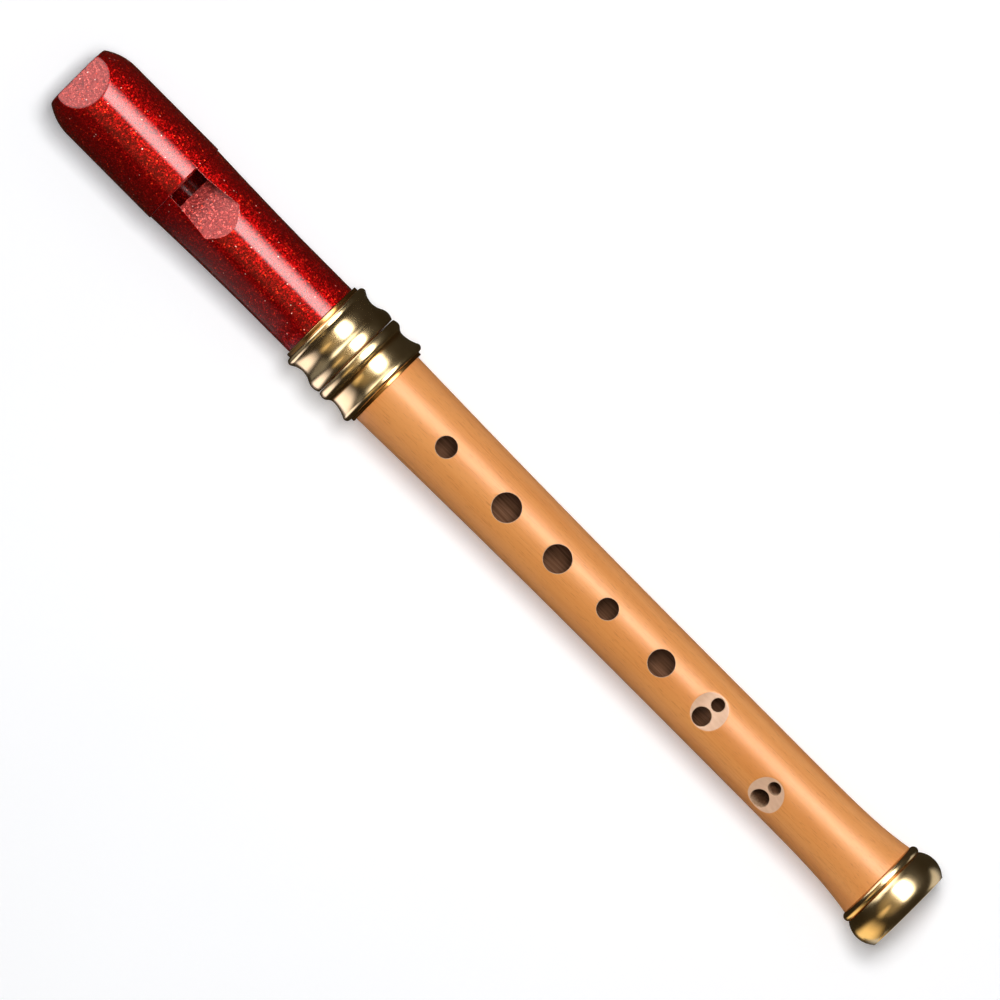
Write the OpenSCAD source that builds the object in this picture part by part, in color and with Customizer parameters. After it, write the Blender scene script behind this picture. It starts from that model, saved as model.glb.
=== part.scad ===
// Soprano recorder in two parts: a moulded plastic head that pushes onto a turned pearwood body.
// It lies on its side. +X runs along the bore from the beak to the foot, the finger holes face +Z,
// and the origin is on the floor under the middle of the tube.
// A station is a distance along the tube from the beak's tip. Heights are above the tube's axis.

/* [Overall] */
// Length from the beak's tip to the end of the foot
total_l = 325; // [324:0.5:328]
// Station of the parting line between head and body
joint_x = 108.9; // [108.5:0.1:109.5]
// Gap between the two rings at the parting line
joint_gap = 0.2; // [0.1:0.05:0.3]

/* [Head] */
// Length of the beak cap
cap_l = 41.8; // [41:0.1:42]
// Diameter of the beak cap
cap_d = 26.7; // [26.2:0.1:27.2]
// Diameter of the head tube at the cap's seam
head_top_d = 26; // [25.6:0.1:26.4]
// Diameter of the head tube at its waist
head_waist_d = 24.4; // [24:0.1:25]
// Diameter of the head's bore, which also holds the block
head_bore_d = 14; // [13.8:0.1:14.2]
// Slope of the flat facet on top of the beak, in degrees from the tube
facet_deg = 36; // [33:1:39]
// Radius of the curved cut under the beak
undercut_r = 70; // [65:1:75]

/* [Windway and window] */
// Width of the windway and of the window
windway_w = 10.6; // [10.2:0.1:11]
// Height of the windway's floor above the axis
windway_floor = 4.75; // [4.6:0.05:4.9]
// Clear height of the windway where the player blows
windway_in_h = 1.3; // [1.2:0.05:1.4]
// Clear height of the windway at the window
windway_out_h = 1.1; // [1:0.05:1.2]
// Length of the window, from the windway to the labium's edge
window_l = 3.9; // [3.6:0.1:4.2]
// Length of the ramp from the labium's edge to the top of the tube
ramp_l = 14.9; // [14:0.1:16]
// Height of the labium's edge above the axis
labium_h = 5.3; // [5.2:0.05:5.4]

/* [Joint] */
// Length of the tenon
tenon_l = 21.8; // [21:0.2:22.6]
// Diameter of the tenon's wooden collars
tenon_d = 16.9; // [16.7:0.1:17]
// Diameter of the head's socket
socket_d = 17.5; // [17.4:0.1:17.8]
// Radial clearance of the cork in the socket, a sliding fit
cork_fit = 0.07; // [0.02:0.01:0.09]
// Length of the cork lapping
cork_l = 15; // [13:0.5:16]

/* [Body] */
// Diameter of the wood under the body ring
body_top_d = 24; // [23.6:0.1:24.4]
// Diameter of the wood at its waist
body_waist_d = 21.6; // [21.2:0.1:22]
// Diameter of the bore at the tenon's end
bore_top_d = 12.6; // [12.2:0.1:12.8]
// Diameter of the bore at its narrowest, near the foot
bore_choke_d = 9.6; // [9.2:0.1:10]
// Diameter of the cylindrical foot bore, which takes a stand's peg
foot_bore_d = 11; // [10.6:0.1:11.4]
// Length of the cylindrical foot bore
foot_bore_l = 15; // [14:0.5:16]

/* [Finger holes] */
// Stations of the five single finger holes
hole_x = [144.4, 167.9, 187.8, 207.3, 228.3]; // [144:0.1:229]
// Diameters of the five single finger holes
hole_d = [6.2, 8.4, 8.1, 6.2, 7.7]; // [6:0.1:8.6]
// Stations of the two double holes
double_x = [247.1, 274.4]; // [246:0.1:276]
// Turn of the two double holes about the tube, towards -Y, in degrees
double_deg = [0, 31]; // [0:1:33]
// Diameter of the larger hole of each pair
double_big_d = 5.4; // [5.2:0.1:5.6]
// Diameter of the smaller hole of each pair
double_small_d = 3.8; // [3.6:0.1:4]
// Station of the thumb hole, on the underside
thumb_x = 134.5; // [132:0.5:137]
// Diameter of the thumb hole
thumb_d = 6; // [5.6:0.1:6.4]

/* [Rings] */
// Length of the head ring
head_ring_l = 13.6; // [13.4:0.1:13.8]
// Length of the body ring
body_ring_l = 12.4; // [12.2:0.1:12.6]
// Length of the foot ring
foot_ring_l = 12.3; // [12:0.1:12.6]
// Largest diameter of the head and body rings
joint_ring_d = 29.4; // [29:0.1:29.8]
// Largest diameter of the foot ring
foot_ring_d = 30.4; // [30:0.1:30.8]

/* [Hidden] */
$fn = 96;

axis_h = foot_ring_d / 2;
cap_r = cap_d / 2;
block_r = head_bore_d / 2;
// Slide-and-turn clearance of the head in its ring
ring_fit = 0.05;
// Thickness of the glue under a fixed ring or the cork
glue = 0.02;
// Outer radius of the head's and the body's seats for their rings
ring_seat_r = 11.2;
foot_seat_r = 11.9;
foot_x = total_l - foot_ring_l;
tenon_x = joint_x - tenon_l;
// Room between the tenon's end and the bottom of the socket
tenon_gap = 0.4;
facet_x = 9.1;
spigot_l = 7;
spigot_r = 10;
labium_x = cap_l + window_l;
labium_edge = 0.2;
ring_peak_r = joint_ring_d / 2;
past = 1;

// A point on an outline, as rotate_extrude takes it, from its station and radius
function at(x, r) = [r, x];
// An arc of an outline about a centre given as [station, radius], from angle a0 to a1
function arc(c, r, a0, a1, n = 8) =
    [for (i = [0:n]) let (a = a0 + (a1 - a0) * i / n) at(c.x + r * cos(a), c.y + r * sin(a))];
// The angle from one centre to another
function toward(a, b) = atan2(b.y - a.y, b.x - a.x);
// How far along the tube two touching arcs' centres are apart, for the sum of their radii
function apart(sum_r, dr) = sqrt(sum_r * sum_r - dr * dr);

// Turns an outline about the tube's axis
module turned(points) {
    on_axis() rotate([0, 90, 0]) rotate_extrude() polygon(points);
}

// Moves something from stations and heights into the part's frame
module on_axis() {
    translate([-total_l / 2, 0, axis_h]) children();
}

// A box across the tube from station x0 to x1, of width w, from height z0 to z1
module slot(x0, x1, w, z0, z1) {
    on_axis() translate([x0, -w / 2, z0]) cube([x1 - x0, w, z1 - z0]);
}

// A side view outline in [station, height], given a width w across the tube
module across(points, w) {
    on_axis() rotate([90, 0, 0]) linear_extrude(w, center = true) polygon(points);
}

// Everything above a slanted plane that crosses height z at station x
module above_plane(x, z, deg) {
    on_axis() translate([x, 0, z]) rotate([0, -deg, 0]) translate([-30, -30, 0]) cube([60, 60, 30]);
}

// ---- Head ----

nose_l = 9.5;
nose_r = 15.9;
nose_round = 0.6;
beak_tip_z = 4.2;

// Cuts the beak's underside to the player's lip
module undercut() {
    on_axis() translate([-past / 2, 0, -beak_tip_z - undercut_r]) rotate([90, 0, 0])
        cylinder(r = undercut_r, h = 60, center = true, $fn = 200);
}

// The air's way through the cap, from the player's lips to the window
module windway() {
    low = windway_floor - 0.25;
    across([
        [-past, low],
        [-past, windway_floor + windway_in_h],
        [0, windway_floor + windway_in_h],
        [cap_l + past, windway_floor + windway_out_h],
        [cap_l + past, low],
    ], windway_w);
}

// The room in the cap for the head tube's spigot, which is open above the windway
module spigot_room() {
    difference() {
        turned([at(cap_l - spigot_l, 0), at(cap_l - spigot_l, spigot_r + ring_fit),
                at(cap_l + past, spigot_r + ring_fit), at(cap_l + past, 0)]);
        slot(0, cap_l + 2 * past, windway_w + 0.6, 0, cap_r);
    }
}

module beak_cap() {
    seam_round = 0.15;
    lip = 0.6;
    nose_c = [nose_l, cap_r - nose_r];
    nose_end = 180 - acos((nose_l - 0.3) / nose_r);
    color("#9c1420") difference() {
        turned(concat(
            [at(0, 0), at(0, nose_c.y + nose_r * sin(nose_end) - nose_round)],
            arc(nose_c, nose_r, nose_end, 90, 14),
            [at(cap_l - seam_round, cap_r), at(cap_l, cap_r - seam_round), at(cap_l, 0)]));
        above_plane(facet_x, cap_r, facet_deg);
        undercut();
        difference() {
            on_axis() translate([-past, 0, 0]) rotate([0, 90, 0])
                cylinder(r = block_r, h = cap_l + 2 * past);
            slot(-2 * past, cap_l + 2 * past, head_bore_d + past, windway_floor, block_r + past);
        }
        windway();
        spigot_room();
        intersection() {
            turned([at(cap_l - lip, cap_r + past), at(cap_l - lip, cap_r),
                    at(cap_l, cap_r - lip), at(cap_l + past, cap_r - lip), at(cap_l + past, cap_r + past)]);
            slot(0, cap_l + 2 * past, windway_w + 0.4, 0, cap_r + past);
        }
    }
}

module block() {
    end_gap = 0.3;
    chamfer = 0.6;
    color("#7e0f1a") difference() {
        on_axis() rotate([0, 90, 0]) cylinder(r = block_r - 0.03, h = cap_l - end_gap);
        slot(-past, cap_l, head_bore_d, windway_floor, block_r + past);
        across([
            [cap_l - end_gap - chamfer, windway_floor + past],
            [cap_l - end_gap - chamfer, windway_floor],
            [cap_l - end_gap, windway_floor - chamfer],
            [cap_l + past, windway_floor - chamfer],
            [cap_l + past, windway_floor + past],
        ], head_bore_d);
        undercut();
    }
}

head_waist_x = 78;

// Radius of the head tube at a station: it narrows from the seam to the waist
function head_r(x) = head_waist_d / 2
    + (head_top_d - head_waist_d) / 2 * pow(max(0, (head_waist_x - x) / (head_waist_x - cap_l)), 1.6);

ramp_deg = atan((head_r(labium_x + ramp_l) - labium_h) / ramp_l);

// The space over the ramp, which widens from the labium's edge
module ramp_space() {
    half0 = windway_w / 2;
    half1 = 6.6;
    widen_l = 11.4;
    end = labium_x + ramp_l + 2;
    end_half = half0 + (half1 - half0) * (end - labium_x) / widen_l;
    intersection() {
        on_axis() linear_extrude(cap_r + past) polygon([
            [labium_x - past, -half0], [labium_x, -half0], [end, -end_half],
            [end, end_half], [labium_x, half0], [labium_x - past, half0],
        ]);
        above_plane(labium_x, labium_h, ramp_deg);
    }
}

// The labium's flat underside, which fills the top of the bore and runs out along it
module labium() {
    under_deg = 7.3;
    intersection() {
        on_axis() translate([labium_x, 0, 0]) rotate([0, 90, 0])
            cylinder(r = block_r + 0.2, h = ramp_l);
        above_plane(labium_x, labium_h - labium_edge, under_deg);
    }
}

module head_tube() {
    steps = 14;
    ring_x = joint_x - joint_gap / 2 - head_ring_l;
    end_x = joint_x - joint_gap / 2;
    socket_r = socket_d / 2;
    socket_x = tenon_x - tenon_gap;
    ring_gap = 0.1;
    mouth_chamfer = 0.4;
    color("#8c121d") difference() {
        union() {
            turned(concat(
                [at(cap_l - spigot_l, block_r), at(cap_l - spigot_l, spigot_r), at(cap_l, spigot_r)],
                [for (i = [0:steps]) let (x = cap_l + (head_waist_x - cap_l) * i / steps) at(x, head_r(x))],
                [at(ring_x - ring_gap, head_r(head_waist_x)), at(ring_x - ring_gap, ring_seat_r),
                 at(end_x, ring_seat_r), at(end_x, socket_r + mouth_chamfer),
                 at(end_x - mouth_chamfer, socket_r), at(socket_x, socket_r), at(socket_x, block_r)]));
            labium();
        }
        slot(cap_l - spigot_l - past, cap_l, windway_w + 0.8, 0, cap_r);
        slot(cap_l - past, labium_x, windway_w, windway_floor - 0.5, cap_r);
        ramp_space();
    }
}

// ---- Rings ----

lip_r = 1.2;
lip_drop = 1.2;
collar_r = 13.2;
cove_depth = 1.35;

// A collar, a lip, a wide cove and a broad bead against the parting line
module head_ring() {
    x0 = joint_x - joint_gap / 2 - head_ring_l;
    x1 = joint_x - joint_gap / 2;
    cove_r = 5.8;
    bead_r = 4.1;
    lip_c = [x0 + 2.4, ring_peak_r - lip_drop];
    edge_r = 13.9;
    cove_dr = ring_peak_r - cove_depth + cove_r - lip_c.y;
    cove_c = [lip_c.x + apart(cove_r + lip_r, cove_dr), lip_c.y + cove_dr];
    bead_dr = cove_c.y - (ring_peak_r - bead_r);
    bead_c = [cove_c.x + apart(cove_r + bead_r, bead_dr), ring_peak_r - bead_r];
    seat_r = ring_seat_r + ring_fit;
    color("#c9a24b") turned(concat(
        [at(x0, seat_r), at(x0, collar_r - 0.2), at(x0 + 0.2, collar_r), at(lip_c.x - lip_r, collar_r)],
        arc(lip_c, lip_r, 180, toward(lip_c, cove_c)),
        arc(cove_c, cove_r, toward(cove_c, lip_c) + 360, toward(cove_c, bead_c) + 360, 12),
        arc(bead_c, bead_r, toward(bead_c, cove_c), acos((x1 - 0.1 - bead_c.x) / bead_r), 12),
        [at(x1, edge_r), at(x1, seat_r)]));
}

// A narrow bead against the parting line, an uneven cove, a lip and a collar
module body_ring() {
    x0 = joint_x + joint_gap / 2;
    x1 = joint_x + body_ring_l;
    flank_r = 3;
    bead_r = 1.9;
    steep_r = 2.2;
    slow_r = 10.5;
    edge_r = 13.8;
    cove_bottom = ring_peak_r - cove_depth;
    lip_c = [x1 - 2.2, ring_peak_r - lip_drop];
    slow_c = [lip_c.x - apart(slow_r + lip_r, cove_bottom + slow_r - lip_c.y), cove_bottom + slow_r];
    steep_c = [slow_c.x, cove_bottom + steep_r];
    bead_dr = steep_c.y - (ring_peak_r - bead_r);
    bead_c = [steep_c.x - apart(steep_r + bead_r, bead_dr), ring_peak_r - bead_r];
    flank_c = [bead_c.x, ring_peak_r - flank_r];
    color("#c9a24b") turned(concat(
        [at(x0, ring_seat_r + glue), at(x0, edge_r)],
        arc(flank_c, flank_r, 180 - acos((bead_c.x - x0 - 0.1) / flank_r), 90, 6),
        arc(bead_c, bead_r, 90, toward(bead_c, steep_c), 6),
        arc(steep_c, steep_r, toward(steep_c, bead_c), -90, 6),
        arc(slow_c, slow_r, -90, toward(slow_c, lip_c), 8),
        arc(lip_c, lip_r, toward(lip_c, slow_c), 0),
        [at(lip_c.x + lip_r, collar_r - 0.1), at(x1 - 0.2, collar_r - 0.1), at(x1, collar_r - 0.3),
         at(x1, ring_seat_r + glue)]));
}

// A bead, a groove and a domed band that ends in a flat face
module foot_ring() {
    bead_c = [foot_x + 1.5, 12.65];
    bead_r = 1.4;
    dome_r = 7.2;
    dome_c = [foot_x + 7.2, foot_ring_d / 2 - dome_r];
    dome_in = 4.45;
    dome_out = total_l - 0.4 - dome_c.x;
    color("#c9a24b") turned(concat(
        [at(foot_x, foot_seat_r + glue)],
        arc(bead_c, bead_r, 175, 37, 12),
        arc(dome_c, dome_r, 180 - acos(dome_in / dome_r), acos(dome_out / dome_r), 18),
        [at(total_l, 13.1), at(total_l, foot_seat_r + 0.3), at(total_l - 0.3, foot_seat_r + glue)]));
}

// ---- Body ----

cork_depth = 0.45;
cork_seat_r = tenon_d / 2 - cork_depth;
cork_x = tenon_x + 3;

body_waist_x = 250;
flare_x = 262;
flare_rise = 1.85;

// Radius of the wood at a station: a long waist, then a flare into the foot ring
function body_r(x) = let (
    start = joint_x + body_ring_l,
    top = (body_top_d - body_waist_d) / 2 * pow(max(0, (body_waist_x - x) / (body_waist_x - start)), 2.5),
    flare = flare_rise * pow(max(0, (x - flare_x) / (foot_x - flare_x)), 5.2)
) body_waist_d / 2 + top + flare;

// A hole bored straight to the axis at a station, deg being its turn towards -Y
module tone_hole(x, d, deg = 0, side = 0) {
    on_axis() rotate([deg, 0, 0]) translate([x, side, 0]) cylinder(d = d, h = 20, $fn = 48);
}

// Two small holes in a dish that is milled across the tube, so that one finger covers both
module double_hole(x, deg) {
    dish_r = 9.4;
    dish_depth = 1.55;
    big_side = -2.5;
    small_side = 2.95;
    on_axis() rotate([deg, 0, 0]) translate([x, 0, body_r(x) - dish_depth + dish_r]) rotate([90, 0, 0])
        cylinder(r = dish_r, h = 24, center = true);
    tone_hole(x - 0.6, double_big_d, deg, big_side);
    tone_hole(x + 0.4, double_small_d, deg, small_side);
}

module body_tube() {
    steps = 24;
    start = joint_x + body_ring_l;
    shoulder = joint_x + joint_gap / 2;
    end_x = total_l - 0.6;
    bore_end = end_x - foot_bore_l;
    choke_l = 8;
    tenon_r = tenon_d / 2;
    color("#d98f4c") difference() {
        turned(concat(
            [at(tenon_x, bore_top_d / 2), at(tenon_x, tenon_r - 0.4), at(tenon_x + 0.4, tenon_r),
             at(cork_x, tenon_r), at(cork_x, cork_seat_r), at(cork_x + cork_l, cork_seat_r),
             at(cork_x + cork_l, tenon_r), at(shoulder, tenon_r), at(shoulder, ring_seat_r),
             at(start, ring_seat_r)],
            [for (i = [0:steps]) let (x = start + (flare_x - start) * i / steps) at(x, body_r(x))],
            [for (i = [1:steps]) let (x = flare_x + (foot_x - flare_x) * i / steps) at(x, body_r(x))],
            [at(foot_x, foot_seat_r), at(end_x, foot_seat_r), at(end_x, foot_bore_d / 2 + 0.5),
             at(end_x - 0.5, foot_bore_d / 2), at(bore_end, foot_bore_d / 2),
             at(bore_end - choke_l, bore_choke_d / 2)]));
        for (i = [0:len(hole_x) - 1]) tone_hole(hole_x[i], hole_d[i]);
        for (i = [0:len(double_x) - 1]) double_hole(double_x[i], double_deg[i]);
        tone_hole(thumb_x, thumb_d, 180);
    }
}

module tenon_cork() {
    cork_r = socket_d / 2 - cork_fit;
    x0 = cork_x + 0.05;
    x1 = cork_x + cork_l - 0.05;
    color("#c8a376") turned([
        at(x0, cork_seat_r + glue), at(x0, cork_r - 0.15), at(x0 + 0.3, cork_r),
        at(x1 - 0.3, cork_r), at(x1, cork_r - 0.15), at(x1, cork_seat_r + glue),
    ]);
}

beak_cap();
block();
head_tube();
head_ring();
body_ring();
body_tube();
tenon_cork();
foot_ring();
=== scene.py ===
"""Looks of the soprano recorder: finer meshes for every CAD node, their materials, and a pale studio.

Stations are millimetres along the tube from the beak's tip, radii and heights are millimetres from the
tube's axis, and angles are from straight up towards +Y.
"""
import math

import bmesh
import bpy
import numpy as np
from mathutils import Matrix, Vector


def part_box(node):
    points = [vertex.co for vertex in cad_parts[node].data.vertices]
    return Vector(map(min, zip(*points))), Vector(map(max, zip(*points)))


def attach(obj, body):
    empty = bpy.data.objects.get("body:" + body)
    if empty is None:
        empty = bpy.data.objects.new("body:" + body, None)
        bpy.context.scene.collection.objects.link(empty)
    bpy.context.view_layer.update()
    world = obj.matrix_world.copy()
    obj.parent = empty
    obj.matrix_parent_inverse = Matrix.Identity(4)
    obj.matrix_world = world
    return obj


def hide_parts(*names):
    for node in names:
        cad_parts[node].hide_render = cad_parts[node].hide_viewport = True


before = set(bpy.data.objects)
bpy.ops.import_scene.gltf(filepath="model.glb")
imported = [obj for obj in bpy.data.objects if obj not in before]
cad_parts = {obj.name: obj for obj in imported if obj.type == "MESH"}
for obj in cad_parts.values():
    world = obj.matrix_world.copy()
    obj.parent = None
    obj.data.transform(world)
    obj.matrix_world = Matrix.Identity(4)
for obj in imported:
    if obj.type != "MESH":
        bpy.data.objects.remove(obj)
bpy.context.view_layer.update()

MM = 0.001


# ---- Measures ----

def middle(node):
    low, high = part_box(node)
    return (low + high) / 2


TIP_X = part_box("beak_cap")[0].x
AXIS_Z = middle("foot_ring").z


def span(node):
    """A CAD node's first and last station."""
    low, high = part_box(node)
    return (low.x - TIP_X) / MM, (high.x - TIP_X) / MM


def radius(node):
    """A CAD node's largest radius."""
    low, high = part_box(node)
    return (high.y - low.y) / 2 / MM


CAP_L = span("beak_cap")[1]
CAP_R = radius("beak_cap")
HEAD_X, HEAD_END = span("head_tube")
HEAD_R = radius("head_tube")
HEAD_RING_X = span("head_ring")[0]
BODY_RING_X, BODY_RING_END = span("body_ring")
TENON_X, WOOD_END = span("body_tube")
CORK_X, CORK_END = span("tenon_cork")
CORK_R = radius("tenon_cork")
FOOT_X, TOTAL_L = span("foot_ring")

# Head
BORE_R = 7.0
SPIGOT_R = 10.0
SPIGOT_FIT = 0.05
HEAD_WAIST_R = 12.2
HEAD_WAIST_X = 78.0
RING_SEAT_R = 11.2
SOCKET_R = 8.75
WINDWAY_HALF = 5.3
WINDWAY_FLOOR = 4.75
WINDWAY_ROOF_IN = WINDWAY_FLOOR + 1.3
WINDWAY_ROOF_OUT = WINDWAY_FLOOR + 1.1
WINDOW_L = 3.9
LABIUM_X = CAP_L + WINDOW_L
LABIUM_H = 5.3
LABIUM_EDGE = 0.2
RAMP_L = 14.9
FACET_X = 9.1
FACET_SLOPE = math.tan(math.radians(36))
UNDERCUT_R = 70.0
UNDERCUT_H = 4.2

# Body
WAIST_R = 10.8
WAIST_X = 250.0
FLARE_X = 262.0
FOOT_SEAT_R = 11.9
FOOT_BORE_R = 5.5
HOLES = [(144.4, 6.2), (167.9, 8.4), (187.8, 8.1), (207.3, 6.2), (228.3, 7.7)]
THUMB = (134.5, 6.0)
DOUBLES = [(247.1, 0.0), (274.4, math.radians(31))]
DISH_R = 9.4
DISH_DEPTH = 1.55
# The two holes of a dish: along the tube from its middle, diameter, and across
BIG_HOLE = (-0.6, 5.4, -2.5)
SMALL_HOLE = (0.4, 3.8, 2.95)
# The foot's straight bore, and the stretch above it that narrows the bore down to the choke
FOOT_BORE_L = 15.0
CHOKE_L = 8.0


# ---- Mesh building ----

def place(x, rho, phi):
    """Points of the frame, in metres, for stations, radii and angles."""
    x, rho, phi = np.broadcast_arrays(x, rho, phi)
    return np.stack([TIP_X + x * MM, rho * np.sin(phi) * MM, AXIS_Z + rho * np.cos(phi) * MM], axis=-1)


def new_object(name, points, faces):
    mesh = bpy.data.meshes.new(name)
    mesh.from_pydata(np.asarray(points).reshape(-1, 3).tolist(), [], faces)
    mesh.update()
    obj = bpy.data.objects.new(name, mesh)
    bpy.context.scene.collection.objects.link(obj)
    return obj


def grid_faces(rows, cols, wrap_rows, wrap_cols):
    """The quads of a grid of points, facing out where rows run along +X and columns from +Z to +Y."""
    index = np.arange(rows * cols).reshape(rows, cols)
    if wrap_rows:
        index = np.vstack([index, index[:1]])
    if wrap_cols:
        index = np.hstack([index, index[:, :1]])
    quads = np.stack([index[:-1, :-1], index[1:, :-1], index[1:, 1:], index[:-1, 1:]], axis=-1)
    return quads.reshape(-1, 4).tolist()


def loop_skin(name, rows, phi):
    """A closed skin from a loop of (station, radius or radii) rows around the tube."""
    points = np.stack([place(x, np.broadcast_to(rho, phi.shape), phi) for x, rho in rows])
    return new_object(name, points, grid_faces(len(rows), len(phi), True, True))


def capped_skin(name, points):
    """A closed skin from a stack of closed sections, with a fan on each end."""
    rows, cols = points.shape[:2]
    faces = grid_faces(rows, cols, False, True)
    first, last = rows * cols, rows * cols + 1
    for j in range(cols):
        k = (j + 1) % cols
        faces.append([first, j, k])
        faces.append([last, (rows - 1) * cols + k, (rows - 1) * cols + j])
    ends = np.stack([points[0].mean(axis=0), points[-1].mean(axis=0)])
    return new_object(name, np.vstack([points.reshape(-1, 3), ends]), faces)


def tidy(obj, sharp_deg=38):
    """Welds the points that meet, drops empty faces, and shades smooth apart from real edges."""
    bm = bmesh.new()
    bm.from_mesh(obj.data)
    bmesh.ops.remove_doubles(bm, verts=bm.verts, dist=1e-6)
    bmesh.ops.dissolve_degenerate(bm, dist=1e-6, edges=bm.edges)
    bmesh.ops.recalc_face_normals(bm, faces=bm.faces)
    bm.to_mesh(obj.data)
    bm.free()
    obj.data.shade_smooth()
    obj.data.set_sharp_from_angle(angle=math.radians(sharp_deg))
    return obj


def cut(obj, cutter, material):
    """Takes the cutter away from obj, and gives the new faces a material."""
    tidy(cutter)
    cutter.data.materials.append(material)
    boolean = obj.modifiers.new("cut", "BOOLEAN")
    boolean.operation = "DIFFERENCE"
    boolean.solver = "EXACT"
    boolean.material_mode = "TRANSFER"
    boolean.object = cutter
    bpy.context.view_layer.update()
    evaluated = obj.evaluated_get(bpy.context.evaluated_depsgraph_get())
    mesh = bpy.data.meshes.new_from_object(evaluated)
    obj.modifiers.clear()
    obj.data = mesh
    bpy.data.objects.remove(cutter)


def joined(name, parts):
    """One object from several closed skins that don't touch."""
    bm = bmesh.new()
    for part in parts:
        bm.from_mesh(part.data)
        bpy.data.objects.remove(part)
    mesh = bpy.data.meshes.new(name)
    bm.to_mesh(mesh)
    bm.free()
    obj = bpy.data.objects.new(name, mesh)
    bpy.context.scene.collection.objects.link(obj)
    return obj


def turns(fine_deg=0.0, fine=0.5, coarse=1.5):
    """Angles all the way round, closer together within fine_deg of the top."""
    if not fine_deg:
        return np.radians(np.arange(-180, 180, coarse))
    top = np.linspace(-fine_deg, fine_deg, 2 * round(fine_deg / fine) + 1)
    side = np.linspace(fine_deg, 180, round((180 - fine_deg) / coarse) + 1)[1:]
    return np.radians(np.concatenate([-side[::-1], top, side]))


def stations(*stretches):
    """Stations from (start, end, step) stretches that follow each other."""
    parts = [np.linspace(a, b, max(1, round((b - a) / step)) + 1) for a, b, step in stretches]
    return np.unique(np.round(np.concatenate(parts), 4))


def soft_min(a, b, k):
    """The smaller of two surfaces, with their edge rounded over about k."""
    near = np.maximum(k - np.abs(a - b), 0) / k
    return np.minimum(a, b) - near * near * k / 4


def soft_step(x, low, high):
    t = np.clip((x - low) / (high - low), 0, 1)
    return t * t * (3 - 2 * t)


def end_round(x, end, r):
    """How far a surface drops near an end whose edge is rounded to radius r."""
    inside = np.clip(r - np.abs(x - end), 0, r)
    return r - np.sqrt(r * r - inside * inside)


def arc(centre, r, start, end, n):
    """Outline points of an arc, its angles in degrees from the +X axis."""
    turn = np.radians(np.linspace(start, end, n + 1))
    return [(centre[0] + r * math.cos(a), centre[1] + r * math.sin(a)) for a in turn]


def toward(a, b):
    return math.degrees(math.atan2(b[1] - a[1], b[0] - a[0]))


def apart(sum_r, rise):
    return math.sqrt(sum_r * sum_r - rise * rise)


# ---- Head ----

def undercut_h(x):
    """How far below the axis the cut under the beak is."""
    return UNDERCUT_H + UNDERCUT_R - np.sqrt(UNDERCUT_R ** 2 - (x + 0.5) ** 2)


def cap_surface(x, phi):
    """Outer radius of the beak cap: a rounded nose, the facet on top and the cut underneath."""
    nose_l, nose_r, tip_round, lip = 9.5, 15.9, 0.6, 0.6
    ahead = np.clip(nose_l - x, 0, nose_l)
    skin = CAP_R - nose_r + nose_r * np.sqrt(1 - (ahead / nose_r) ** 2)
    skin = skin - end_round(x, 0, tip_round) - end_round(x, CAP_L, 0.18)
    up = np.cos(phi)
    facet = (CAP_R + FACET_SLOPE * (x - FACET_X)) / np.maximum(up, 1e-3)
    facet = np.where(up > 0.05, facet, 99.0)
    below = undercut_h(x) / np.maximum(-up, 1e-3)
    below = np.where(up < -0.05, below, 99.0)
    rho = soft_min(soft_min(skin, facet, 0.35), below, 0.7)
    over_window = 1 - soft_step(np.abs(rho * np.sin(phi)), WINDWAY_HALF, WINDWAY_HALF + 0.3)
    rho = rho - over_window * np.clip(x - (CAP_L - lip), 0, lip)
    return rho - end_round(x, 0, 0.3) * soft_step(up, -0.45, 0.0)


def cap_inside(x, phi):
    """Inner radius of the beak cap: the block's bore, the windway and the room for the spigot."""
    up, side = np.cos(phi), np.abs(np.sin(phi))
    roof = WINDWAY_ROOF_IN + (WINDWAY_ROOF_OUT - WINDWAY_ROOF_IN) * x / CAP_L
    above = np.maximum(up, 1e-3)
    across = np.maximum(side, 1e-3)
    block = np.minimum(BORE_R, WINDWAY_FLOOR / above)
    windway = np.minimum(roof / above, WINDWAY_HALF / across)
    return np.maximum(block, np.where(up > 0, windway, 0))


def spigot_room(x, phi):
    """Inner radius of the cap's wide end, which leaves the tongue over the windway."""
    tongue = (np.cos(phi) > 0) & (np.abs(np.sin(phi)) * (SPIGOT_R + SPIGOT_FIT) < WINDWAY_HALF + 0.3)
    return np.where(tongue, cap_inside(x, phi), SPIGOT_R + SPIGOT_FIT)


def beak_cap():
    opening_end = math.sqrt(UNDERCUT_R ** 2 - (UNDERCUT_R + UNDERCUT_H - BORE_R) ** 2) - 0.5
    ahead = stations((0, 0.6, 0.06), (0.6, 10.2, 0.15), (10.2, opening_end, 0.35))
    behind = stations((opening_end, CAP_L - 0.9, 0.6), (CAP_L - 0.9, CAP_L, 0.06))[1:]
    even = turns(56, 0.56, 1.8)

    def lie(x):
        """The angles of a station's points: short of the opening they end where the cut meets the bore."""
        reach = math.pi if x >= opening_end else math.acos(-undercut_h(x) / BORE_R)
        fixed = math.radians(60)
        spread = fixed + (np.abs(even) - fixed) * (reach - fixed) / (math.pi - fixed)
        return np.where(np.abs(even) > fixed, np.sign(even) * spread, even)

    rows = [place(x, cap_surface(x, lie(x)), lie(x)) for x in np.concatenate([ahead, behind])]
    rows += [place(x, spigot_room(x, lie(x)), lie(x)) for x in np.linspace(CAP_L, HEAD_X, 15)]
    back = np.concatenate([np.linspace(HEAD_X, opening_end, 10)[:-1], ahead[::-1]])
    rows += [place(x, cap_inside(x, lie(x)), lie(x)) for x in back]
    points = np.stack(rows)
    return tidy(new_object("beak_shell", points, grid_faces(len(rows), len(even), True, False)))


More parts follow.
